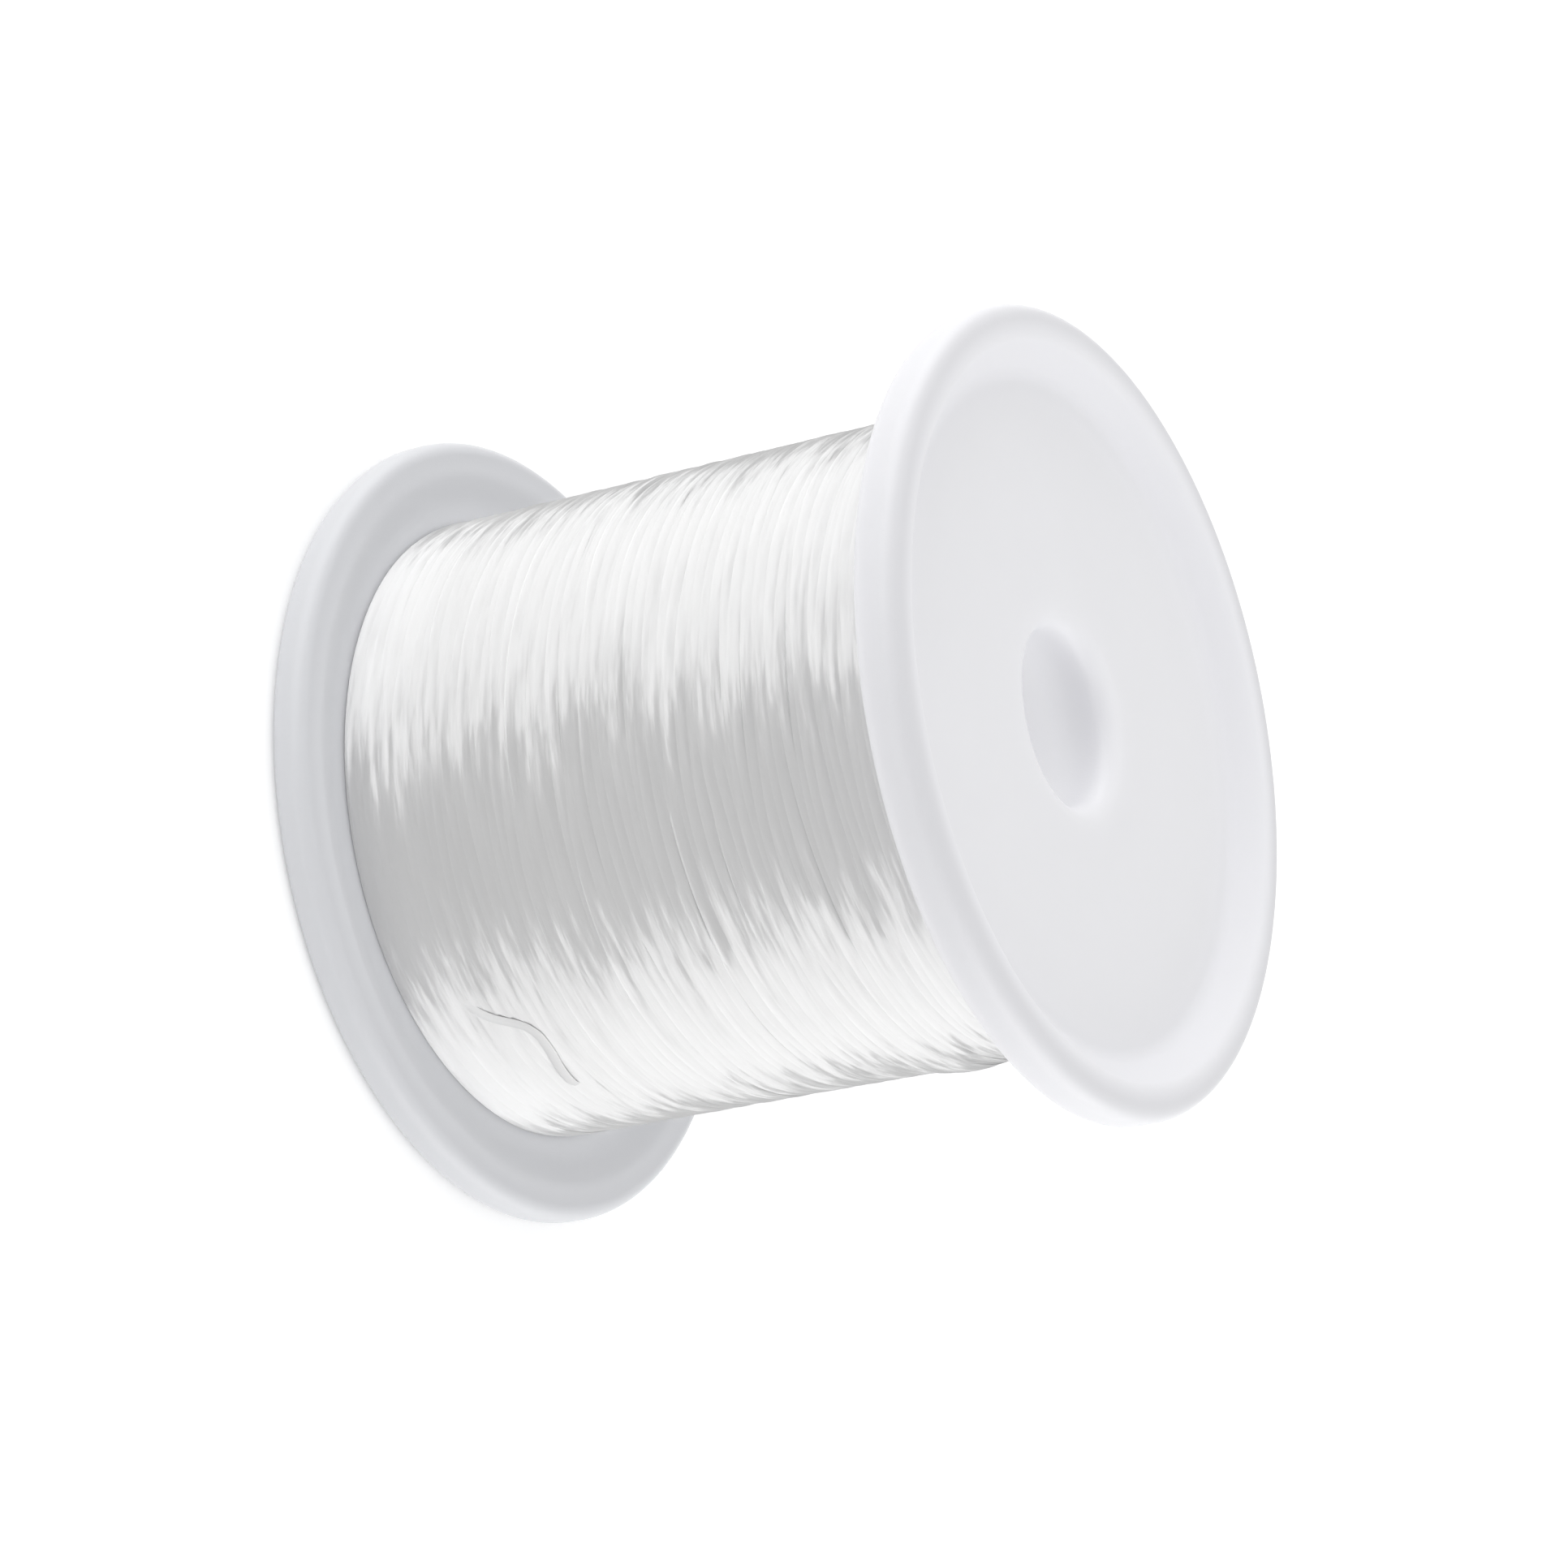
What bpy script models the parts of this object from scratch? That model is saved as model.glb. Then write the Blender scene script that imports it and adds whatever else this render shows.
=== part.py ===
"""A small fishing line spool: two moulded plastic halves pressed together, wound with nylon line.

The spool's axis is +Z. It stands on the rim of its rear flange, with the origin at the middle of
that rim's lower face. All sizes are in metres.
"""

import math

import bmesh
import bpy

# ---- Overall sizes -----------------------------------------------------------------------------
FLANGE_RADIUS = 0.0165
SPOOL_LENGTH = 0.0285

# ---- Flanges: a thin web inside a thicker rim -----------------------------------------------------
WEB_THICKNESS = 0.0008
FRONT_RIM_THICKNESS = 0.0020
REAR_RIM_THICKNESS = 0.0016
REAR_INNER_LIP = 0.0004  # how far the rear rim stands above its web, on the line's side
RIM_WIDTH = 0.0014
DISH_SLOPE_WIDTH = 0.0013  # radial run of the slope from the rim down to the web
EDGE_ROUND = 0.0006
RIM_INNER_ROUND = 0.0002

# ---- Hub: the front half's spigot is pressed into the rear half's barrel ------------------------------
BORE_RADIUS = 0.0036
BORE_MOUTH_ROUND = 0.0006
SPIGOT_WALL = 0.0012
BARREL_WALL = 0.0014
FIT_GAP = 0.0003  # between faces that touch on the real spool
TIP_CHAMFER = 0.0004
ROOT_ROUND = 0.0005
SNAP_BEAD_HEIGHT = 0.0003
SNAP_BEAD_WIDTH = 0.0012
SNAP_BEAD_SETBACK = 0.0020  # from the spigot's tip to the middle of its bead

# ---- Line ---------------------------------------------------------------------------------------
LINE_DIAMETER = 0.0004
FLANGE_STAND = 0.0035  # how far the flanges stand out past the wound line
WOUND_SHOULDER = 0.0010

# The loose end comes out from under one turn and is tucked under the next, on the wound surface.
# Each point is its angle around the axis in degrees and its height above the rear web in metres.
LOOSE_END_ROUTE = [
    (-62.0, 0.0023),
    (-56.6, 0.0034),
    (-54.0, 0.0046),
    (-51.2, 0.0050),
    (-47.0, 0.0050),
    (-42.5, 0.0048),
    (-38.5, 0.0047),
    (-34.5, 0.0047),
]
LOOSE_END_POINTS = 12

# ---- Mesh fineness --------------------------------------------------------------------------------
TURN_STEPS = 64
ROUND_STEPS = 3

# ---- Levels along the axis and radii that follow from the sizes above ---------------------------------
REAR_WEB_INNER_Z = REAR_RIM_THICKNESS - REAR_INNER_LIP
REAR_WEB_OUTER_Z = REAR_WEB_INNER_Z - WEB_THICKNESS
FRONT_INNER_Z = SPOOL_LENGTH - FRONT_RIM_THICKNESS
FRONT_WEB_OUTER_Z = FRONT_INNER_Z + WEB_THICKNESS
WOUND_RADIUS = FLANGE_RADIUS - FLANGE_STAND
RIM_INNER_RADIUS = FLANGE_RADIUS - RIM_WIDTH
WEB_RADIUS = RIM_INNER_RADIUS - DISH_SLOPE_WIDTH
SPIGOT_RADIUS = BORE_RADIUS + SPIGOT_WALL
SOCKET_RADIUS = SPIGOT_RADIUS + FIT_GAP
BARREL_RADIUS = SOCKET_RADIUS + BARREL_WALL
SPIGOT_TIP_Z = REAR_WEB_INNER_Z + FIT_GAP
BARREL_END_Z = FRONT_INNER_Z - FIT_GAP
BEAD_Z = SPIGOT_TIP_Z + SNAP_BEAD_SETBACK


def rounded_outline(corners):
    """Returns the outline's points, with each corner (radius, z, rounding) turned into an arc."""
    points = []
    for index, (x, z, rounding) in enumerate(corners):
        if rounding == 0.0:
            points.append((x, z))
            continue
        before = corners[index - 1]
        after = corners[(index + 1) % len(corners)]
        angle_in = math.atan2(before[1] - z, before[0] - x)
        angle_out = math.atan2(after[1] - z, after[0] - x)
        opening = (angle_out - angle_in + math.pi) % (2.0 * math.pi) - math.pi
        bisector = angle_in + opening / 2.0
        to_centre = rounding / math.sin(abs(opening) / 2.0)
        centre_x = x + to_centre * math.cos(bisector)
        centre_z = z + to_centre * math.sin(bisector)
        sweep = math.copysign(math.pi - abs(opening), opening)
        for step in range(ROUND_STEPS + 1):
            angle = bisector + math.pi + sweep * (0.5 - step / ROUND_STEPS)
            points.append((centre_x + rounding * math.cos(angle), centre_z + rounding * math.sin(angle)))
    return points


def plastic(name, colour, roughness, transmission=0.0):
    """Returns a Principled material in one plain colour."""
    material = bpy.data.materials.new(name)
    material.use_nodes = True
    shader = material.node_tree.nodes["Principled BSDF"]
    shader.inputs["Base Color"].default_value = (*colour, 1.0)
    shader.inputs["Roughness"].default_value = roughness
    shader.inputs["Metallic"].default_value = 0.0
    shader.inputs["Transmission Weight"].default_value = transmission
    return material


def add_object(name, data, material, collection, axis):
    """Adds one named piece to the collection, under the spool's axis."""
    data.materials.append(material)
    piece = bpy.data.objects.new(name, data)
    collection.objects.link(piece)
    piece.parent = axis
    return piece


def turned(name, corners, material, collection, axis):
    """Turns a closed outline around the spool's axis; the outline runs down its outer side."""
    outline = rounded_outline(corners)
    mesh = bpy.data.meshes.new(name)
    shape = bmesh.new()
    verts = [shape.verts.new((x, 0.0, z)) for x, z in outline]
    for start, end in zip(verts, verts[1:] + verts[:1]):
        shape.edges.new((start, end))
    shape.to_mesh(mesh)
    shape.free()
    piece = add_object(name, mesh, material, collection, axis)
    screw = piece.modifiers.new("Turn", "SCREW")
    screw.axis = "Z"
    screw.angle = 2.0 * math.pi
    screw.steps = TURN_STEPS
    screw.render_steps = TURN_STEPS
    screw.use_smooth_shade = True
    return piece


def front_half_corners():
    """Front flange with its raised rim and dished web, and the spigot that runs down to the rear."""
    half_bead = SNAP_BEAD_WIDTH / 2.0
    return [
        (RIM_INNER_RADIUS, SPOOL_LENGTH, RIM_INNER_ROUND),
        (FLANGE_RADIUS, SPOOL_LENGTH, EDGE_ROUND),
        (FLANGE_RADIUS, FRONT_INNER_Z, EDGE_ROUND),
        (SPIGOT_RADIUS, FRONT_INNER_Z, 0.0),
        (SPIGOT_RADIUS, BEAD_Z + half_bead, 0.0),
        (SPIGOT_RADIUS + SNAP_BEAD_HEIGHT, BEAD_Z, 0.0),
        (SPIGOT_RADIUS, BEAD_Z - half_bead, 0.0),
        (SPIGOT_RADIUS, SPIGOT_TIP_Z + TIP_CHAMFER, 0.0),
        (SPIGOT_RADIUS - TIP_CHAMFER, SPIGOT_TIP_Z, 0.0),
        (BORE_RADIUS, SPIGOT_TIP_Z, 0.0),
        (BORE_RADIUS, FRONT_WEB_OUTER_Z, BORE_MOUTH_ROUND),
        (WEB_RADIUS, FRONT_WEB_OUTER_Z, 0.0),
    ]


def rear_half_corners():
    """Rear flange with the barrel that the line is wound on, bored to take the spigot."""
    half_groove = SNAP_BEAD_WIDTH / 2.0
    mouth_round = min(BORE_MOUTH_ROUND, WEB_THICKNESS / 2.0)
    return [
        (BARREL_RADIUS, BARREL_END_Z, 0.0),
        (BARREL_RADIUS, REAR_WEB_INNER_Z, ROOT_ROUND),
        (WEB_RADIUS, REAR_WEB_INNER_Z, 0.0),
        (RIM_INNER_RADIUS, REAR_RIM_THICKNESS, 0.0),
        (FLANGE_RADIUS, REAR_RIM_THICKNESS, EDGE_ROUND),
        (FLANGE_RADIUS, 0.0, EDGE_ROUND),
        (RIM_INNER_RADIUS, 0.0, RIM_INNER_ROUND),
        (WEB_RADIUS, REAR_WEB_OUTER_Z, 0.0),
        (BORE_RADIUS, REAR_WEB_OUTER_Z, mouth_round),
        (BORE_RADIUS, REAR_WEB_INNER_Z, 0.0),
        (SOCKET_RADIUS, REAR_WEB_INNER_Z, 0.0),
        (SOCKET_RADIUS, BEAD_Z - half_groove, 0.0),
        (SOCKET_RADIUS + SNAP_BEAD_HEIGHT, BEAD_Z, 0.0),
        (SOCKET_RADIUS, BEAD_Z + half_groove, 0.0),
        (SOCKET_RADIUS, BARREL_END_Z - TIP_CHAMFER, 0.0),
        (SOCKET_RADIUS + TIP_CHAMFER, BARREL_END_Z, 0.0),
    ]


def wound_line_corners():
    """The wound line as one ring between the flanges, with rounded shoulders."""
    inner_radius = BARREL_RADIUS + FIT_GAP
    top = FRONT_INNER_Z - FIT_GAP
    bottom = REAR_WEB_INNER_Z + FIT_GAP
    return [
        (WOUND_RADIUS, top, WOUND_SHOULDER),
        (WOUND_RADIUS, bottom, WOUND_SHOULDER),
        (inner_radius + ROOT_ROUND, bottom, 0.0),
        (inner_radius, bottom + ROOT_ROUND, 0.0),
        (inner_radius, top, 0.0),
    ]


def smooth_route(points, count):
    """Returns count points on a Catmull-Rom curve through the route's own points."""
    ends = [points[0]] + points + [points[-1]]
    spans = len(points) - 1
    route = []
    for step in range(count):
        place = step * spans / (count - 1)
        span = min(int(place), spans - 1)
        t = place - span
        four = ends[span:span + 4]
        route.append(tuple(
            0.5 * (2.0 * b + (c - a) * t + (2.0 * a - 5.0 * b + 4.0 * c - d) * t * t
                   + (3.0 * b - a - 3.0 * c + d) * t * t * t)
            for a, b, c, d in zip(*four)
        ))
    return route


def loose_end(name, material, collection, axis):
    """The line's free end, a short run of bare line that lies on the wound turns."""
    lie_radius = WOUND_RADIUS + FIT_GAP + LINE_DIAMETER / 2.0
    curve = bpy.data.curves.new(name, "CURVE")
    curve.dimensions = "3D"
    curve.bevel_depth = LINE_DIAMETER / 2.0
    curve.bevel_resolution = 2
    curve.use_fill_caps = True
    spline = curve.splines.new("POLY")
    route = smooth_route(LOOSE_END_ROUTE, LOOSE_END_POINTS)
    spline.points.add(len(route) - 1)
    for point, (degrees, height) in zip(spline.points, route):
        angle = math.radians(degrees)
        x = lie_radius * math.cos(angle)
        y = lie_radius * math.sin(angle)
        point.co = (x, y, REAR_WEB_INNER_Z + height, 1.0)
    return add_object(name, curve, material, collection, axis)


def build_spool():
    """Builds the four pieces under one empty that marks the spool's axis."""
    for old in list(bpy.data.objects):
        bpy.data.objects.remove(old, do_unlink=True)
    collection = bpy.data.collections.new("fishing_line_spool")
    bpy.context.scene.collection.children.link(collection)
    axis = bpy.data.objects.new("spool_axis", None)
    axis.empty_display_size = FLANGE_RADIUS
    collection.objects.link(axis)

    milky = plastic("milky_polypropylene", (0.79, 0.79, 0.81), 0.38)
    nylon = plastic("clear_nylon_line", (0.85, 0.85, 0.85), 0.15, transmission=0.4)
    turned("front_flange_and_spigot", front_half_corners(), milky, collection, axis)
    turned("rear_flange_and_barrel", rear_half_corners(), milky, collection, axis)
    turned("line_winding", wound_line_corners(), nylon, collection, axis)
    loose_end("line_loose_end", nylon, collection, axis)


build_spool()
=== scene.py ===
"""Looks for a small fishing line spool: two moulded halves, the wound line and its loose end.

The spool stands on its rear flange with its axis along +Z. Everything is in metres, in the frame of
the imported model, and the sizes that the pieces share are read from that model's boxes.
"""

from __future__ import annotations

import logging
import math
from collections.abc import Callable
from dataclasses import dataclass
from enum import Enum

import bpy
import numpy as np
from mathutils import Matrix, Vector


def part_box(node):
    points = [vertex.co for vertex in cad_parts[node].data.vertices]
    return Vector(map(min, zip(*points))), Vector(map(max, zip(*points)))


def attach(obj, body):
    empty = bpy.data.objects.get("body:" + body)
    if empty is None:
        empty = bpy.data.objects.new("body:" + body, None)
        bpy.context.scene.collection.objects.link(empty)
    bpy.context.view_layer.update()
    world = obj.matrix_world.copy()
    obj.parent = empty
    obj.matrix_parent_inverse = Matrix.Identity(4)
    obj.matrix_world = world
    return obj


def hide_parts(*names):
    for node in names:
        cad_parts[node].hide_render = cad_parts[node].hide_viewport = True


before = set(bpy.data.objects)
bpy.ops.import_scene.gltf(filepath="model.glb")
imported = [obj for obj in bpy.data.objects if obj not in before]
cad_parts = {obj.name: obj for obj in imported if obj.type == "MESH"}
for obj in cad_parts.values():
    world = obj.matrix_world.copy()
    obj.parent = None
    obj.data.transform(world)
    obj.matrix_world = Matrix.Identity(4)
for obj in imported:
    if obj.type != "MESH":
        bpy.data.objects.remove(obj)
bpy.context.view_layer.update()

LOG = logging.getLogger("fishing_line_spool")
MM = 0.001
BODY = "root"


class CadNode(Enum):
    """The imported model's nodes, which the pieces here stand for."""

    FRONT_HALF = "front_flange_and_spigot"
    REAR_HALF = "rear_flange_and_barrel"
    WINDING = "line_winding"
    LOOSE_END = "line_loose_end"


class Slot(Enum):
    """The record's material slots."""

    PLASTIC = "flange_plastic"
    LINE = "line_nylon"


@dataclass(frozen=True)
class SpoolFrame:
    """The places and radii that every piece shares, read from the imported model's boxes."""

    flange_radius: float
    length: float
    spigot_tip: float
    barrel_end: float
    wound_radius: float

    @classmethod
    def read(cls) -> SpoolFrame:
        """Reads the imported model's boxes.

        Returns:
            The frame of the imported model.
        """
        front_low, front_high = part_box(CadNode.FRONT_HALF.value)
        _, rear_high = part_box(CadNode.REAR_HALF.value)
        _, wound_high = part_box(CadNode.WINDING.value)
        return cls(
            flange_radius=front_high.x,
            length=front_high.z,
            spigot_tip=front_low.z,
            barrel_end=rear_high.z,
            wound_radius=wound_high.x,
        )


# ---- Shader helpers -------------------------------------------------------------------------------


def linear(hex_colour: str) -> tuple[float, float, float, float]:
    """Turns an sRGB hex colour into linear RGBA.

    Args:
        hex_colour: the colour as "#RRGGBB".

    Returns:
        The linear red, green and blue values, with an alpha of 1.
    """
    channels = [int(hex_colour[place:place + 2], 16) / 255.0 for place in (1, 3, 5)]
    red, green, blue = (c / 12.92 if c <= 0.04045 else ((c + 0.055) / 1.055) ** 2.4 for c in channels)
    return red, green, blue, 1.0


def add_node(
    tree: bpy.types.NodeTree,
    kind: str,
    inputs: dict[str | int, object] | None = None,
    **settings: object,
) -> bpy.types.Node:
    """Adds one node with its settings, its values and its links.

    Args:
        tree: the node tree that gets the node.
        kind: the node's type name.
        inputs: each input's value, or the output socket that feeds it.
        settings: the node's own properties.

    Returns:
        The new node.
    """
    node = tree.nodes.new(kind)
    for name, value in settings.items():
        setattr(node, name, value)
    for name, value in (inputs or {}).items():
        if isinstance(value, bpy.types.NodeSocket):
            tree.links.new(value, node.inputs[name])
        else:
            node.inputs[name].default_value = value
    return node


def blank_material(name: str) -> tuple[bpy.types.Material, bpy.types.NodeTree]:
    """Adds a material with an empty node tree.

    Args:
        name: the material's name.

    Returns:
        The new material and its node tree.
    """
    material = bpy.data.materials.new(name)
    material.use_nodes = True
    material.node_tree.nodes.clear()
    return material, material.node_tree


# ---- Finishes -------------------------------------------------------------------------------------


@dataclass(frozen=True)
class MilkyPolypropylene:
    """Natural polypropylene, injection moulded in a finely textured tool.

    Unpigmented polypropylene scatters light inside, so its edges and thin walls look soft and milky
    and carry no hard shadow. The tool's texture leaves a satin face without a sharp gloss.
    """

    name: str = "milky_polypropylene_moulded"
    # The web, and the faint marks that the flowing plastic leaves in it.
    colour: str = "#EBEBEE"
    shade: str = "#E8E8EB"
    # Painted shade by distance from the axis: the dish between web and rim, and the solid rim, get darker
    # colours that stand in for shade, so the rim, which catches more of the side light, looks no brighter
    # than the web.
    ring: str = "#E8E8EB"
    rim: str = "#D4D4D7"
    # Where each of these two begins and where it is full, as distances from the axis.
    ring_from: tuple[float, float] = (12.8 * MM, 13.4 * MM)
    rim_from: tuple[float, float] = (15.0 * MM, 16.3 * MM)
    # A satin face, and how far the satin varies from place to place.
    roughness: float = 0.42
    roughness_play: float = 0.04
    ior: float = 1.49
    # How much of the light goes in, and how far red, green and blue travel before they come out.
    scatter: float = 0.5
    scatter_depth: tuple[float, float, float] = (1.0 * MM, 1.0 * MM, 1.0 * MM)
    # Flow marks are some millimetres long.
    flow_size: float = 6.0 * MM
    flow_detail: float = 3.0
    flow_breakup: float = 0.5
    # A spark-eroded tool leaves a grain of about 0.03 mm. It is drawn four times as coarse to show.
    tool_grain: float = 0.12 * MM
    grain_detail: float = 2.0
    grain_breakup: float = 0.6
    grain_depth: float = 0.004 * MM
    # A painted glow, given off by the bore's wall, stands in for light that reaches the bore through the
    # milky wall. It shows on the bore's wall only, is full inside the first of the two radii, and fades out
    # over the last part below the front mouth.
    hub_glow: str = "#70706F"
    hub_glow_full: float = 3.62 * MM
    hub_glow_end: float = 3.7 * MM
    hub_glow_top: float = 26.5 * MM
    hub_glow_depth: float = 2.2 * MM

    def material(self) -> bpy.types.Material:
        """Makes the finish.

        Returns:
            The new material.
        """
        material, tree = blank_material(self.name)
        place = add_node(tree, "ShaderNodeTexCoord").outputs["Object"]
        flow = add_node(
            tree, "ShaderNodeTexNoise",
            {
                "Vector": place,
                "Scale": 1.0 / self.flow_size,
                "Detail": self.flow_detail,
                "Roughness": self.flow_breakup,
            },
        )
        colour = add_node(
            tree, "ShaderNodeMix",
            {"Factor": flow.outputs["Fac"], "A": linear(self.shade), "B": linear(self.colour)},
            data_type="RGBA",
        )
        grain = add_node(
            tree, "ShaderNodeTexNoise",
            {
                "Vector": place,
                "Scale": 1.0 / self.tool_grain,
                "Detail": self.grain_detail,
                "Roughness": self.grain_breakup,
            },
        )
        satin = add_node(
            tree, "ShaderNodeMapRange",
            {
                "Value": flow.outputs["Fac"],
                "To Min": self.roughness - self.roughness_play,
                "To Max": self.roughness + self.roughness_play,
            },
        )
        bump = add_node(
            tree, "ShaderNodeBump",
            {"Height": grain.outputs["Fac"], "Distance": self.grain_depth, "Strength": 1.0},
        )
        flat = add_node(tree, "ShaderNodeVectorMath", {0: place, 1: (1.0, 1.0, 0.0)}, operation="MULTIPLY")
        radius = add_node(
            tree, "ShaderNodeVectorMath", {0: flat.outputs["Vector"]}, operation="LENGTH"
        ).outputs["Value"]
        body = colour.outputs["Result"]
        # Painted shade: the dish and the rim are darkened by their distance from the axis.
        for painted_shade_colour, (start, full) in ((self.ring, self.ring_from), (self.rim, self.rim_from)):
            zone = add_node(
                tree, "ShaderNodeMapRange",
                {"Value": radius, "From Min": start, "From Max": full},
                interpolation_type="SMOOTHSTEP",
            )
            body = add_node(
                tree, "ShaderNodeMix",
                {"Factor": zone.outputs["Result"], "A": body, "B": linear(painted_shade_colour)},
                data_type="RGBA",
            ).outputs["Result"]
        # Painted glow: the bore's wall gives off light of its own, below the front mouth.
        inside = add_node(
            tree, "ShaderNodeMapRange",
            {"Value": radius, "From Min": self.hub_glow_end, "From Max": self.hub_glow_full},
            interpolation_type="SMOOTHSTEP",
        )
        level = add_node(tree, "ShaderNodeSeparateXYZ", {"Vector": place}).outputs["Z"]
        deep = add_node(
            tree, "ShaderNodeMapRange",
            {
                "Value": level,
                "From Min": self.hub_glow_top,
                "From Max": self.hub_glow_top - self.hub_glow_depth,
                "To Max": inside.outputs["Result"],
            },
            interpolation_type="SMOOTHSTEP",
        )
        glow = add_node(
            tree, "ShaderNodeMix",
            {"Factor": deep.outputs["Result"], "A": linear("#000000"), "B": linear(self.hub_glow)},
            data_type="RGBA",
        )
        shader = add_node(
            tree, "ShaderNodeBsdfPrincipled",
            {
                "Base Color": body,
                "Roughness": satin.outputs["Result"],
                "IOR": self.ior,
                "Subsurface Weight": self.scatter,
                "Subsurface Radius": self.scatter_depth,
                "Subsurface Scale": 1.0,
                "Emission Color": glow.outputs["Result"],
                "Emission Strength": 1.0,
                "Normal": bump.outputs["Normal"],
            },
        )
        add_node(tree, "ShaderNodeOutputMaterial", {"Surface": shader.outputs["BSDF"]})
        return material


@dataclass(frozen=True)
class ClearNylon:
    """Clear nylon monofilament, drawn smooth and wound under tension.

    Each strand is a glossy rod that blurs what lies under it, so the winding looks white and silky,
    with streaks of light along the turns.
    """

    name: str = "clear_nylon_drawn"
    # Hundreds of clear strands on top of each other look white, and some a touch greyer.
    colour: str = "#EEEEEE"
    shade: str = "#E2E2E2"
    # How blurred the highlights are, and how far that varies along the streaks.
    roughness: float = 0.54
    roughness_play: float = 0.06
    # Strands side by side smear a highlight across themselves and keep it narrow along themselves.
    # The quarter turn puts the smear across the strands.
    silk: float = 1.0
    silk_turn: float = 0.25
    # How much of the light comes back as gloss from the bed of strands rather than as plain white,
    # and how weak that gloss is at grazing angles, where real strands hide behind each other.
    fibre_share: float = 0.82
    edge_tint: str = "#A0A0A0"
    ior: float = 1.53
    # A streak is about a strand wide and runs on for some millimetres.
    streak_length: float = 3.5 * MM
    streak_width: float = 0.35 * MM
    streak_detail: float = 3.0
    streak_breakup: float = 0.6
    # How far the strands' sides face to and fro around the axis, which frays the highlights' ends.
    lean: float = 0.5
    # Painted light: the line beside the rear flange is drawn paler, as if lit by the milky flange, and the
    # shade that the flange casts on it is painted away. This is full below the first of these two heights,
    # and gone above the second.
    pale: str = "#F6F6F6"
    painted_rear_light_start: float = 1.5 * MM
    painted_rear_light_end: float = 6.0 * MM

    def material(self) -> bpy.types.Material:
        """Makes the finish.

        Returns:
            The new material.
        """
        material, tree = blank_material(self.name)
        place = add_node(tree, "ShaderNodeTexCoord").outputs["Object"]
        along = 1.0 / self.streak_length
        stretched = add_node(
            tree, "ShaderNodeMapping",
            {"Vector": place, "Scale": (along, along, 1.0 / self.streak_width)},
        )
        streaks = add_node(
            tree, "ShaderNodeTexNoise",
            {
                "Vector": stretched.outputs["Vector"],
                "Scale": 1.0,
                "Detail": self.streak_detail,
                "Roughness": self.streak_breakup,
            },
        ).outputs["Fac"]
        colour = add_node(
            tree, "ShaderNodeMix",
            {"Factor": streaks, "A": linear(self.shade), "B": linear(self.colour)},
            data_type="RGBA",
        )
        level = add_node(tree, "ShaderNodeSeparateXYZ", {"Vector": place}).outputs["Z"]
        # Painted light: the line is drawn paler towards the rear flange.
        near_rear = add_node(
            tree, "ShaderNodeMapRange",
            {"Value": level, "From Min": self.painted_rear_light_end, "From Max": self.painted_rear_light_start},
            interpolation_type="SMOOTHSTEP",
        )
        painted_rear_light_colour = add_node(
            tree, "ShaderNodeMix",
            {"Factor": near_rear.outputs["Result"], "A": colour.outputs["Result"], "B": linear(self.pale)},
            data_type="RGBA",
        )
        gloss = add_node(
            tree, "ShaderNodeMapRange",
            {
                "Value": streaks,
                "To Min": self.roughness - self.roughness_play,
                "To Max": self.roughness + self.roughness_play,
            },
        )
        around = add_node(tree, "ShaderNodeTangent", direction_type="RADIAL", axis="Z").outputs["Tangent"]
        swing = add_node(
            tree, "ShaderNodeMapRange",
            {"Value": streaks, "To Min": -self.lean, "To Max": self.lean},
        )
        sideways = add_node(
            tree, "ShaderNodeVectorMath",
            {0: around, "Scale": swing.outputs["Result"]},
            operation="SCALE",
        )
        straight = add_node(tree, "ShaderNodeNewGeometry").outputs["Normal"]
        leaning = add_node(tree, "ShaderNodeVectorMath", {0: straight, 1: sideways.outputs["Vector"]})
        facing = add_node(
            tree, "ShaderNodeVectorMath", {0: leaning.outputs["Vector"]}, operation="NORMALIZE"
        )
        shader = add_node(
            tree, "ShaderNodeBsdfPrincipled",
            {
                "Base Color": painted_rear_light_colour.outputs["Result"],
                "Roughness": gloss.outputs["Result"],
                "IOR": self.ior,
                "Metallic": self.fibre_share,
                "Specular Tint": linear(self.edge_tint),
                "Anisotropic": self.silk,
                "Anisotropic Rotation": self.silk_turn,
                "Tangent": around,
                "Normal": facing.outputs["Vector"],
            },
        )
        add_node(tree, "ShaderNodeOutputMaterial", {"Surface": shader.outputs["BSDF"]})
        return material


FRONT_PLASTIC = MilkyPolypropylene()
# The rear half gets a darker copy of the same plastic, which is painted shade: it stands in for the shade
# that the winding and the front flange cast on the rear flange's inner face.
REAR_SHADED_PLASTIC = MilkyPolypropylene(
    "milky_polypropylene_rear_painted_shade", colour="#DADBDE", shade="#D6D7DA", ring="#D8D9DC", rim="#CBCCCF"
)
WOUND_NYLON = ClearNylon()
# A strand on its own has no bed of strands to glint with, so it shows as a plain, greyer band.
SINGLE_NYLON = ClearNylon(
    "clear_nylon_single_strand",
    colour="#D6D6D6", shade="#D0D0D0", roughness=0.50, silk=0.0, fibre_share=0.2, lean=0.0,
)


# ---- Meshes ---------------------------------------------------------------------------------------


def turned_rows(outline: np.ndarray, steps: int) -> np.ndarray:
    """Repeats an outline around the spool's axis.

    Args:
        outline: the outline as (radius, height) rows.
        steps: how many times the outline is repeated in a full turn.

    Returns:
        The points as (step, place in the outline, coordinate).
    """
    angles = np.arange(steps) * 2.0 * math.pi / steps
    turned = np.empty((steps, len(outline), 3))
    turned[..., 0] = np.cos(angles)[:, None] * outline[:, 0]
    turned[..., 1] = np.sin(angles)[:, None] * outline[:, 0]
    turned[..., 2] = outline[:, 1]
    return turned


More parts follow.
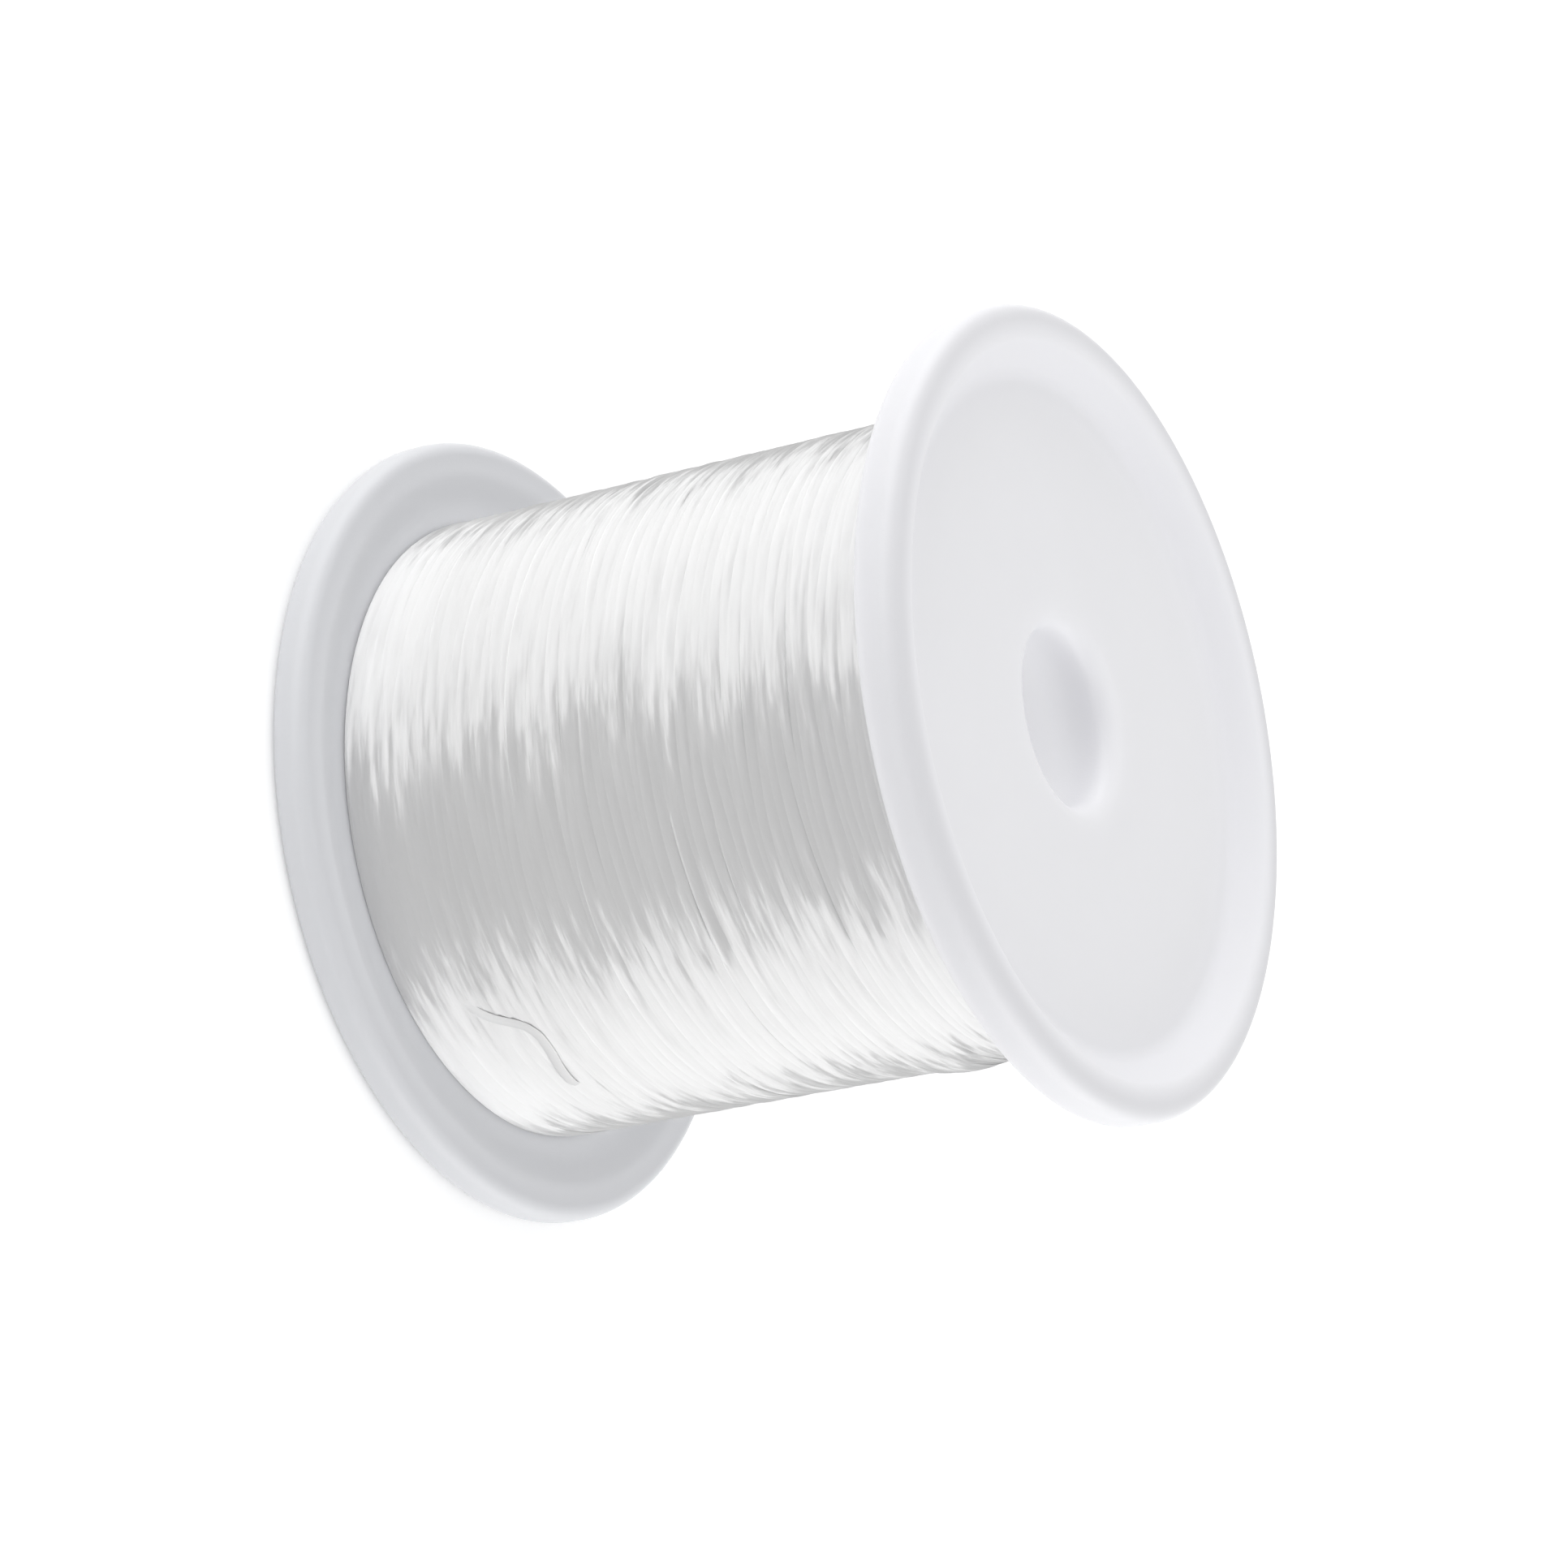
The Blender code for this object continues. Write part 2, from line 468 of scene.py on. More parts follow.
def grid_mesh(name: str, points: np.ndarray, close_rows: bool) -> bpy.types.Mesh:
    """Skins rows of points that are each a closed loop.

    Args:
        name: the mesh's name.
        points: the points as (row, place in the row, coordinate).
        close_rows: joins the last row to the first; otherwise both ends get a cap.

    Returns:
        The new mesh, shaded smooth.
    """
    rows, per_row, _ = points.shape
    last_row = rows if close_rows else rows - 1
    row = np.arange(last_row)[:, None]
    place = np.arange(per_row)[None, :]
    after_row = (row + 1) % rows
    after_place = (place + 1) % per_row
    quads = np.stack(
        [
            row * per_row + place,
            row * per_row + after_place,
            after_row * per_row + after_place,
            after_row * per_row + place,
        ],
        axis=-1,
    ).reshape(-1, 4)
    faces = quads.tolist()
    if not close_rows:
        faces.append(list(range(per_row))[::-1])
        faces.append([(rows - 1) * per_row + p for p in range(per_row)])
    mesh = bpy.data.meshes.new(name)
    mesh.from_pydata(points.reshape(-1, 3).tolist(), [], faces)
    mesh.validate()
    mesh.shade_smooth()
    return mesh


def add_piece(
    mesh: bpy.types.Mesh, material: bpy.types.Material, stands_for: CadNode | None
) -> bpy.types.Object:
    """Adds one finished piece to the spool.

    Args:
        mesh: the piece's mesh, whose name the piece takes.
        material: its finish.
        stands_for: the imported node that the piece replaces, if it is the one that does.

    Returns:
        The new object, which rides on the spool's only body.
    """
    mesh.materials.append(material)
    piece = bpy.data.objects.new(mesh.name, mesh)
    bpy.context.scene.collection.objects.link(piece)
    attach(piece, BODY)
    if stands_for is not None:
        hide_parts(stands_for.value)
    return piece


# ---- Turned mouldings -----------------------------------------------------------------------------


@dataclass(frozen=True)
class Corner:
    """One corner of a turned outline: its radius, its height and how far it is rounded."""

    radius: float
    height: float
    rounding: float = 0.0


@dataclass(frozen=True)
class TurnedOutline:
    """A closed outline that is turned around the spool's axis. It runs down its outer side."""

    corners: tuple[Corner, ...]
    arc_steps: int = 8
    longest_run: float = 0.6 * MM

    def _arc(self, index: int) -> list[tuple[float, float]]:
        """Rounds one corner.

        Args:
            index: the corner's place in the outline.

        Returns:
            The (radius, height) points that take the corner's place.
        """
        corner = self.corners[index]
        before = self.corners[index - 1]
        after = self.corners[(index + 1) % len(self.corners)]
        if corner.rounding == 0.0:
            return [(corner.radius, corner.height)]
        angle_in = math.atan2(before.height - corner.height, before.radius - corner.radius)
        angle_out = math.atan2(after.height - corner.height, after.radius - corner.radius)
        opening = (angle_out - angle_in + math.pi) % (2.0 * math.pi) - math.pi
        bisector = angle_in + opening / 2.0
        to_centre = corner.rounding / math.sin(abs(opening) / 2.0)
        centre_radius = corner.radius + to_centre * math.cos(bisector)
        centre_height = corner.height + to_centre * math.sin(bisector)
        sweep = math.copysign(math.pi - abs(opening), opening)
        points = []
        for step in range(self.arc_steps + 1):
            angle = bisector + math.pi + sweep * (0.5 - step / self.arc_steps)
            points.append((
                centre_radius + corner.rounding * math.cos(angle),
                centre_height + corner.rounding * math.sin(angle),
            ))
        return points

    def points(self) -> np.ndarray:
        """Rounds every corner and splits the long straight runs.

        Returns:
            The outline as (radius, height) rows.
        """
        rounded = [point for index in range(len(self.corners)) for point in self._arc(index)]
        rows: list[tuple[float, float]] = []
        for start, end in zip(rounded, rounded[1:] + rounded[:1]):
            pieces = max(1, math.ceil(math.dist(start, end) / self.longest_run))
            for piece in range(pieces):
                share = piece / pieces
                rows.append((
                    start[0] + (end[0] - start[0]) * share,
                    start[1] + (end[1] - start[1]) * share,
                ))
        return np.array(rows)

    def mesh(self, name: str, steps: int, warp: Callable[[np.ndarray], np.ndarray]) -> bpy.types.Mesh:
        """Turns the outline into a closed ring.

        Args:
            name: the mesh's name.
            steps: how many times the outline is repeated around the axis.
            warp: moves the points a little, as a real moulding is never perfectly true.

        Returns:
            The new mesh, shaded smooth.
        """
        return grid_mesh(name, warp(turned_rows(self.points(), steps)), close_rows=True)


@dataclass
class Mouldings:
    """The two moulded halves: the front flange with its spigot, and the rear flange with its barrel."""

    spool: SpoolFrame
    front_finish: MilkyPolypropylene = FRONT_PLASTIC
    # The rear half takes the darker copy of the plastic, with painted shade.
    rear_finish: MilkyPolypropylene = REAR_SHADED_PLASTIC
    # Walls and rims.
    web: float = 0.8 * MM
    front_rim: float = 2.0 * MM
    rear_rim: float = 1.6 * MM
    rear_lip: float = 0.4 * MM
    rim_width: float = 1.4 * MM
    dish_slope: float = 1.3 * MM
    # Bore, spigot and barrel, and the room between barrel and spigot.
    bore: float = 3.6 * MM
    spigot_wall: float = 1.2 * MM
    barrel_wall: float = 1.4 * MM
    barrel_room: float = 0.3 * MM
    fit_gap: float = 0.05 * MM
    lead_in: float = 0.4 * MM
    # How far each kind of corner is rounded.
    edge_round: float = 0.6 * MM
    front_edge_round: float = 0.72 * MM
    front_lip_round: float = 0.6 * MM
    front_web_round: float = 1.0 * MM
    rear_lip_round: float = 1.8 * MM
    rear_web_round: float = 3.0 * MM
    foot_lip_round: float = 0.3 * MM
    foot_web_round: float = 0.4 * MM
    foot_mouth_round: float = 0.35 * MM
    mouth_round: float = 0.9 * MM
    spigot_root_round: float = 0.2 * MM
    barrel_root_round: float = 0.5 * MM
    barrel_end_round: float = 0.15 * MM
    tip_round: float = 0.1 * MM
    hidden_round: float = 0.05 * MM
    # The mesh's steps around the axis, and the faint waves that the rims cool into.
    turn_steps: int = 288
    rim_wave: float = 0.03 * MM
    wave_lobes: tuple[int, ...] = (2, 3, 5)
    seed: int = 11

    def __post_init__(self) -> None:
        """Works out the radii and levels that follow from the sizes."""
        self.rim_inner = self.spool.flange_radius - self.rim_width
        self.web_radius = self.rim_inner - self.dish_slope
        self.spigot = self.bore + self.spigot_wall
        self.socket = self.spigot + self.fit_gap
        self.barrel = self.spigot + self.barrel_room + self.barrel_wall
        self.front_inner = self.spool.length - self.front_rim
        self.rear_inner = self.rear_rim - self.rear_lip

    def _warp(self, points: np.ndarray) -> np.ndarray:
        """Lets the thin rims wave a few hundredths of a millimetre, as cooling leaves them.

        Args:
            points: the true points.

        Returns:
            The same points, moved along the axis.
        """
        draw = np.random.default_rng(self.seed)
        angle = np.arctan2(points[..., 1], points[..., 0])
        radius = np.hypot(points[..., 0], points[..., 1])
        out = np.clip((radius - self.bore) / (self.spool.flange_radius - self.bore), 0.0, 1.0) ** 2
        wave = np.zeros_like(angle)
        for lobes in self.wave_lobes:
            wave += np.cos(lobes * angle + draw.uniform(0.0, 2.0 * math.pi)) / lobes
        moved = points.copy()
        moved[..., 2] += self.rim_wave * wave * out
        return moved

    def front_outline(self) -> TurnedOutline:
        """Draws the front half: raised rim, dished web, rounded bore mouth and spigot.

        Returns:
            The front half's outline.
        """
        top = self.spool.length
        web_face = self.front_inner + self.web
        tip = self.spool.spigot_tip
        return TurnedOutline((
            Corner(self.rim_inner, top, self.front_lip_round),
            Corner(self.spool.flange_radius, top, self.front_edge_round),
            Corner(self.spool.flange_radius, self.front_inner, self.edge_round),
            Corner(self.spigot, self.front_inner, self.spigot_root_round),
            Corner(self.spigot, tip + self.lead_in, self.tip_round),
            Corner(self.spigot - self.lead_in, tip, self.tip_round),
            Corner(self.bore, tip, self.tip_round),
            Corner(self.bore, web_face, self.mouth_round),
            Corner(self.web_radius, web_face, self.front_web_round),
        ))

    def rear_outline(self) -> TurnedOutline:
        """Draws the rear half: thinner rim, web and the barrel that takes the spigot.

        Returns:
            The rear half's outline.
        """
        outer = self.rear_inner - self.web
        end = self.spool.barrel_end
        return TurnedOutline((
            Corner(self.barrel, end, self.barrel_end_round),
            Corner(self.barrel, self.rear_inner, self.barrel_root_round),
            Corner(self.web_radius, self.rear_inner, self.rear_web_round),
            Corner(self.rim_inner, self.rear_rim, self.rear_lip_round),
            Corner(self.spool.flange_radius, self.rear_rim, self.edge_round),
            Corner(self.spool.flange_radius, 0.0, self.edge_round),
            Corner(self.rim_inner, 0.0, self.foot_lip_round),
            Corner(self.web_radius, outer, self.foot_web_round),
            Corner(self.bore, outer, self.foot_mouth_round),
            Corner(self.bore, self.rear_inner, self.hidden_round),
            Corner(self.socket, self.rear_inner, self.hidden_round),
            Corner(self.socket, end - self.lead_in, self.tip_round),
            Corner(self.socket + self.lead_in, end, self.tip_round),
        ))

    def build(self) -> list[bpy.types.Object]:
        """Makes both halves.

        Returns:
            The two pieces, front half first.
        """
        pieces = []
        for node, outline, finish in (
            (CadNode.FRONT_HALF, self.front_outline(), self.front_finish),
            (CadNode.REAR_HALF, self.rear_outline(), self.rear_finish),
        ):
            mesh = outline.mesh(node.value + "_moulded", self.turn_steps, self._warp)
            pieces.append(add_piece(mesh, finish.material(), node))
        return pieces


# ---- Wound line -----------------------------------------------------------------------------------


@dataclass(frozen=True)
class Strand:
    """The line's cross-section: a round line that the winding tension has pressed flat.

    The line takes up its width in the winding. Its flattened section spreads wider and laps over its
    neighbours, and its lower side may be tucked deeper into them than its upper side stands proud.
    """

    width: float = 0.40 * MM
    spread: float = 0.84 * MM
    height: float = 0.19 * MM
    sides: int = 8
    tuck: float = 1.0

    def tube(
        self,
        name: str,
        angles: np.ndarray,
        radii: np.ndarray,
        heights: np.ndarray,
        tilts: np.ndarray,
        spreads: np.ndarray,
    ) -> bpy.types.Mesh:
        """Skins the line along a path around the axis.

        Args:
            name: the mesh's name.
            angles: the path's angles around the axis, in radians.
            radii: the path's distances from the axis.
            heights: the path's places along the axis.
            tilts: how far the flattened section leans over at each point, in radians.
            spreads: how wide the section is at each point.

        Returns:
            The new mesh, a closed tube.
        """
        outward = np.stack([np.cos(angles), np.sin(angles), np.zeros_like(angles)], axis=-1)
        along_axis = np.array([0.0, 0.0, 1.0])
        centres = outward * radii[:, None] + along_axis * heights[:, None]
        onward = angles[-1] > angles[0]
        sideways = np.cross(outward, np.gradient(centres, axis=0)) * (1.0 if onward else -1.0)
        sideways /= np.linalg.norm(sideways, axis=1)[:, None]
        turn = np.arange(self.sides) * 2.0 * math.pi / self.sides
        across = spreads[:, None] / 2.0 * np.cos(turn)
        proud = self.height / 2.0 * np.sin(turn) * np.abs(np.sin(turn))
        proud = np.where(proud < 0.0, proud * self.tuck, proud)
        lean_cos = np.cos(tilts)[:, None]
        lean_sin = np.sin(tilts)[:, None]
        up = across * lean_cos - proud * lean_sin
        out = across * lean_sin + proud * lean_cos
        points = (
            centres[:, None, :] + up[..., None] * sideways[:, None, :] + out[..., None] * outward[:, None, :]
        )
        if onward:
            points = points[:, ::-1]
        return grid_mesh(name, points, close_rows=False)


@dataclass
class WoundSurface:
    """The height of the wound line so far, over angle and place along the axis.

    A strand that is laid on it rests on the highest strands below its width. Its tension lets it
    bridge the hollows on both sides of what it crosses.
    """

    core_radius: float
    low: float
    high: float
    turn_samples: int
    # The map's step along the axis, and the most that a strand is lifted off its bed.
    step: float = 0.02 * MM
    lift: float = 0.02 * MM
    # A strand is laid a few samples at a time, and looks this many samples both ways for support.
    chunk: int = 10
    look: int = 12

    def __post_init__(self) -> None:
        """Starts with a bare core between the two levels."""
        self.columns = int((self.high - self.low) / self.step) + 1
        self.radius = np.full((self.turn_samples, self.columns), self.core_radius)

    def _footprint(self, heights: np.ndarray, strand: Strand) -> tuple[np.ndarray, np.ndarray]:
        """Finds what a strand covers.

        Args:
            heights: the strand's places along the axis.
            strand: the line's cross-section.

        Returns:
            The map's columns across the strand at each place, and how far the strand's surface is from
            its centre over each of them.
        """
        reach = np.arange(-strand.width / 2.0, strand.width / 2.0 + self.step / 2.0, self.step)
        bulge = strand.height / 2.0 * np.sqrt(np.clip(1.0 - (2.0 * reach / strand.width) ** 2, 0.0, 1.0))
        places = (heights[:, None] + reach[None, :] - self.low) / self.step
        return np.clip(places.round().astype(int), 0, self.columns - 1), bulge

    def rest(self, samples: np.ndarray, heights: np.ndarray, strand: Strand) -> np.ndarray:
        """Finds where a strand comes to rest.

        Args:
            samples: the samples around the turn that the strand passes.
            heights: its places along the axis there.
            strand: the line's cross-section.

        Returns:
            The radius at which the strand's centre rests at each sample.
        """
        columns, bulge = self._footprint(heights, strand)
        return (self.radius[samples[:, None], columns] + bulge).max(axis=1)

    def deposit(self, samples: np.ndarray, heights: np.ndarray, radii: np.ndarray, strand: Strand) -> None:
        """Raises the surface where a strand now lies.

        Args:
            samples: the samples around the turn that the strand passes.
            heights: its places along the axis there.
            radii: the distances of its centre from the axis there.
            strand: the line's cross-section.
        """
        columns, bulge = self._footprint(heights, strand)
        rows = np.broadcast_to(samples[:, None], columns.shape)
        np.maximum.at(self.radius, (rows, columns), radii[:, None] + bulge)

    def lay(self, path: np.ndarray, strand: Strand, bed: float) -> np.ndarray:
        """Lays a strand along the whole path.

        Args:
            path: the strand's place along the axis at each sample, one sample after the other.
            strand: the line's cross-section.
            bed: the radius that the strand's centre keeps where nothing lifts it.

        Returns:
            The radius of the strand's centre at each sample.
        """
        spacing = 2.0 * math.pi / self.turn_samples
        offsets = np.arange(-self.look, self.look + 1)
        count = len(path)
        radii = np.zeros(count)
        for start in range(0, count, self.chunk):
            end = min(start + self.chunk, count)
            window = np.arange(max(0, start - self.look), min(count, end + self.look))
            held = self.rest(window % self.turn_samples, path[window], strand)
            laid = window < start
            held[laid] = radii[window[laid]]
            drop = held.mean() * (offsets * spacing) ** 2 / 2.0
            for index in range(start, end):
                reached = index + offsets
                inside = (reached >= window[0]) & (reached <= window[-1])
                top = (held[reached[inside] - window[0]] - drop[inside]).max()
                radii[index] = bed + self.lift * math.tanh(max(0.0, top - bed) / (2.0 * self.lift))
            span = np.arange(start, end)
            self.deposit(span % self.turn_samples, path[span], radii[span], strand)
        return radii


@dataclass(frozen=True)
class Pass:
    """One traverse of the line guide from one flange to the other.

    The drift is what neighbouring turns share, and the jitter is each turn's own.
    """

    pitch: float
    drift: float
    jitter: float


@dataclass
class Winding:
    """The wound line: a hidden core of turns and the outer turns strand by strand."""

    spool: SpoolFrame
    rear_face: float
    front_face: float
    barrel: float
    finish: ClearNylon = WOUND_NYLON
    strand: Strand = Strand()
    turn_samples: int = 180
    # How much each pass adds to the radius, and the room that the line leaves beside the flanges.
    layer_rise: float = 0.03 * MM
    side_gap: float = 0.03 * MM
    # The drift is a sum of waves: how many, the range of their lengths along the axis in millimetres,
    # the most lobes around it, and the range of their sizes.
    drift_waves: int = 14
    drift_lengths: tuple[float, float] = (1.1, 4.5)
    drift_lobes: int = 5
    drift_sizes: tuple[float, float] = (0.4, 1.0)
    # A turn wanders this many times, and settles over this distance from a flange.
    wanders_per_turn: int = 10
    settle_width: float = 1.0 * MM
    # How unevenly the strands lie: in and out, and leaning over in degrees. The lean fades quickly
    # where a flange leaves less width.
    unevenness: float = 0.012 * MM
    most_lean: float = 4.0
    lean_fade: int = 4
    # A slack turn caught under the outer ones lifts them, at this angle and height.
    hump_rise: float = 0.22 * MM
    hump_angle: float = -4.0
    hump_reach: float = 12.0
    hump_height: float = 20.2 * MM
    hump_width: float = 1.3 * MM
    # The core: its steps around the axis, its samples for each ridge, how much of the strand's height
    # a ridge has, and how wide the shoulders are that fill up to the flanges.
    core_steps: int = 128
    ridge_samples: int = 6
    ridge_part: float = 3.0
    shoulder_width: float = 0.35 * MM
    seed: int = 7
    passes: tuple[Pass, ...] = (
        Pass(0.40 * MM, 0.06 * MM, 0.07 * MM),
        Pass(0.40 * MM, 0.07 * MM, 0.07 * MM),
        Pass(0.40 * MM, 0.07 * MM, 0.07 * MM),
    )

    def __post_init__(self) -> None:
        """Works out the levels that the strand's centre may reach and starts the surface."""
        half = self.strand.width / 2.0 + self.side_gap
        self.low = self.rear_face + half
        self.high = self.front_face - half
        self.draw = np.random.default_rng(self.seed)
        self.top_bed = self.spool.wound_radius - self.strand.height / 2.0
        self.core_radius = self.top_bed - self.layer_rise * len(self.passes)
        self.surface = WoundSurface(self.core_radius, self.rear_face, self.front_face, self.turn_samples)

    def _drift(self, angles: np.ndarray, heights: np.ndarray, amount: float) -> np.ndarray:
        """Draws a smooth sideways drift that neighbouring turns share, so that they bunch up.

        Args:
            angles: the path's angles around the axis.
            heights: the path's places along the axis.
            amount: the drift's usual size.

        Returns:
            The drift along the axis at each point.
        """
        total = np.zeros_like(heights)
        weight = 0.0
        for _ in range(self.drift_waves):
            length = self.draw.uniform(*self.drift_lengths) * MM
            lobes = self.draw.integers(-self.drift_lobes, self.drift_lobes + 1)
            share = self.draw.uniform(*self.drift_sizes)
            phase = self.draw.uniform(0.0, 2.0 * math.pi)
            total += share * np.sin(2.0 * math.pi * heights / length + lobes * angles + phase)
            weight += share ** 2
        return amount * total / math.sqrt(weight / 2.0)

    def _jitter(self, count: int, amount: float) -> np.ndarray:
        """Draws a strand's own small wander, smooth over about a tenth of a turn.

        Args:
            count: how many samples the strand has.
            amount: the wander's usual size.

        Returns:
            The wander at each sample.
        """
        knot_gap = self.turn_samples // self.wanders_per_turn
        knots = self.draw.normal(0.0, 1.0, count // knot_gap + 3)
        place = np.arange(count) / knot_gap
        whole = place.astype(int)
        part = place - whole
        smooth = part * part * (3.0 - 2.0 * part)
        return amount * (knots[whole] * (1.0 - smooth) + knots[whole + 1] * smooth)

    def _path(self, guide: Pass, upwards: bool) -> np.ndarray:
        """Draws the way of the strand for one pass between the flanges.

        Args:
            guide: the pass.
            upwards: whether the line guide moves to the front flange or back from it.

        Returns:
            The strand's place along the axis at each sample.
        """
        turns = (self.high - self.low) / guide.pitch
        count = int(turns * self.turn_samples)
        share = np.arange(count) / count
        heights = self.low + (self.high - self.low) * (share if upwards else 1.0 - share)
        angles = np.arange(count) * 2.0 * math.pi / self.turn_samples
        moved = self._drift(angles, heights, guide.drift) + self._jitter(count, guide.jitter)
        from_side = np.minimum(heights - self.low, self.high - heights)
        settled = np.clip(from_side / self.settle_width, 0.0, 1.0)
        return np.clip(heights + moved * settled, self.low, self.high)

    def _hump(self, angles: np.ndarray, heights: np.ndarray) -> np.ndarray:
        """Finds how far the turns stand proud where a slack turn is caught under them.

        Args:
            angles: the path's angles around the axis.
            heights: the path's places along the axis.

        Returns:
            The rise at each point.
        """
        turned = (angles - math.radians(self.hump_angle) + math.pi) % (2.0 * math.pi) - math.pi
        aside = (heights - self.hump_height) / self.hump_width
        return self.hump_rise * np.exp(-((turned / math.radians(self.hump_reach)) ** 2) - aside ** 2)

    def _core_mesh(self) -> bpy.types.Mesh:
        """Makes the turns that no one sees, as one ring with a ridge for each turn.

        Returns:
            The core's mesh.
        """
        low = self.rear_face + self.side_gap
        high = self.front_face - self.side_gap
        inner = self.barrel + self.side_gap
        ridges = int((high - low) / self.strand.width)
        places = np.linspace(high, low, ridges * self.ridge_samples + 1)
        ridge = np.abs(np.sin(np.linspace(0.0, ridges * math.pi, len(places))))
        from_side = np.minimum(places - low, high - places)
        shoulder = np.clip(1.0 - from_side / self.shoulder_width, 0.0, 1.0)
        ridge_height = self.strand.height / self.ridge_part
        outer = self.core_radius - ridge_height * (1.0 - ridge)
        outer += (self.top_bed + ridge_height - outer) * np.sqrt(shoulder)
        outline = np.concatenate([
            np.stack([outer, places], axis=-1),
            np.array([[inner, low], [inner, high]]),
        ])
        return grid_mesh("wound_line_core", turned_rows(outline, self.core_steps), close_rows=True)

    def build(self) -> list[bpy.types.Object]:
        """Makes the core and the passes that lie on it.

        Returns:
            The core's piece and one piece for each pass, the innermost first.
        """
        material = self.finish.material()
        pieces = [add_piece(self._core_mesh(), material, CadNode.WINDING)]
        for index, guide in enumerate(self.passes):
            path = self._path(guide, upwards=index % 2 == 0)
            bed = self.top_bed - self.layer_rise * (len(self.passes) - 1 - index)
            radii = self.surface.lay(path, self.strand, bed) + self._jitter(len(path), self.unevenness)
            angles = np.arange(len(path)) * 2.0 * math.pi / self.turn_samples
            radii += self._hump(angles, path)
            from_side = np.minimum(path - self.rear_face, self.front_face - path) - self.side_gap
            spreads = np.minimum(2.0 * from_side, self.strand.spread)
            tilts = self._jitter(len(path), math.radians(self.most_lean))
            tilts = tilts * (spreads / self.strand.spread) ** self.lean_fade
            mesh = self.strand.tube(f"wound_line_pass_{index + 1}", angles, radii, path, tilts, spreads)
            pieces.append(add_piece(mesh, material, None))
        return pieces


@dataclass
class LooseEnd:
    """The line's free end, which comes out from under one turn and is tucked under the next."""

    surface: WoundSurface
    rear_face: float
    finish: ClearNylon = SINGLE_NYLON
    strand: Strand = Strand(spread=0.46 * MM, height=0.10 * MM, sides=16, tuck=3.0)
    points: int = 60
    # How many points the route is smoothed over, on each side of a point.
    smoothing: int = 3
    # How deep the strand sits in the turns, and how much deeper over its last points at both ends.
    bedding: float = 0.02 * MM
    end_bedding: float = 0.15 * MM
    end_points: float = 6.0
    # Each point is its angle around the axis in degrees and its height above the rear web.
    route: tuple[tuple[float, float], ...] = (
        (-62.0, 2.3 * MM),
        (-56.6, 3.4 * MM),
        (-54.0, 4.6 * MM),
        (-51.2, 5.0 * MM),
        (-47.0, 5.0 * MM),
        (-42.5, 4.8 * MM),
        (-38.5, 4.7 * MM),
        (-34.5, 4.7 * MM),
    )

    def _smooth(self, values: np.ndarray) -> np.ndarray:
        """Smooths a run of values and leaves its ends where they are.

        Args:
            values: the values in order.

        Returns:
            The smoothed values.
        """
        across = 2 * self.smoothing + 1
        smoothed = values.copy()
        smoothed[self.smoothing:-self.smoothing] = np.convolve(values, np.ones(across) / across, "valid")
        return smoothed

    def build(self) -> bpy.types.Object:
        """Makes the loose end.

        Returns:
            The new piece.
        """
        knots = np.array(self.route)
        places = np.linspace(0.0, len(knots) - 1.0, self.points)
        angles = self._smooth(np.radians(np.interp(places, np.arange(len(knots)), knots[:, 0])))
        heights = self._smooth(self.rear_face + np.interp(places, np.arange(len(knots)), knots[:, 1]))
        samples = (angles / (2.0 * math.pi) * self.surface.turn_samples).round().astype(int)
        radii = self._smooth(self.surface.rest(samples % self.surface.turn_samples, heights, self.strand))
        ends = np.minimum(np.arange(self.points), np.arange(self.points)[::-1]) / self.end_points
        radii -= self.bedding + self.end_bedding * (1.0 - np.clip(ends, 0.0, 1.0))
        spreads = np.full_like(angles, self.strand.spread)
        tilts = np.zeros_like(angles)
        mesh = self.strand.tube("line_loose_end_strand", angles, radii, heights, tilts, spreads)
        return add_piece(mesh, self.finish.material(), CadNode.LOOSE_END)


# ---- Studio ---------------------------------------------------------------------------------------


def direction(azimuth: float, elevation: float) -> Vector:
    """Points from the spool to a place around it.

    Args:
        azimuth: the angle around the axis from +X, in degrees.
        elevation: the angle above the floor, in degrees.

    Returns:
        The direction, one unit long.
    """
    turn = math.radians(azimuth)
    rise = math.radians(elevation)
    return Vector((math.cos(turn) * math.cos(rise), math.sin(turn) * math.cos(rise), math.sin(rise)))


@dataclass(frozen=True)
class SoftBox:
    """One soft box: a rectangle of even light that faces the spool."""

    name: str
    azimuth: float
    elevation: float
    distance: float
    width: float
    height: float
    brightness: float

    def build(self, target: Vector) -> None:
        """Adds the soft box.

        Args:
            target: the place that it is aimed at.
        """
        lamp = bpy.data.lights.new(self.name, "AREA")
        lamp.shape = "RECTANGLE"
        lamp.size = self.width
        lamp.size_y = self.height
        lamp.energy = self.brightness * math.pi * self.width * self.height
        box = bpy.data.objects.new(self.name, lamp)
        towards = direction(self.azimuth, self.elevation)
        box.location = target + towards * self.distance
        box.rotation_euler = towards.to_track_quat("Z", "Y").to_euler()
        box.visible_camera = False
        bpy.context.scene.collection.objects.link(box)


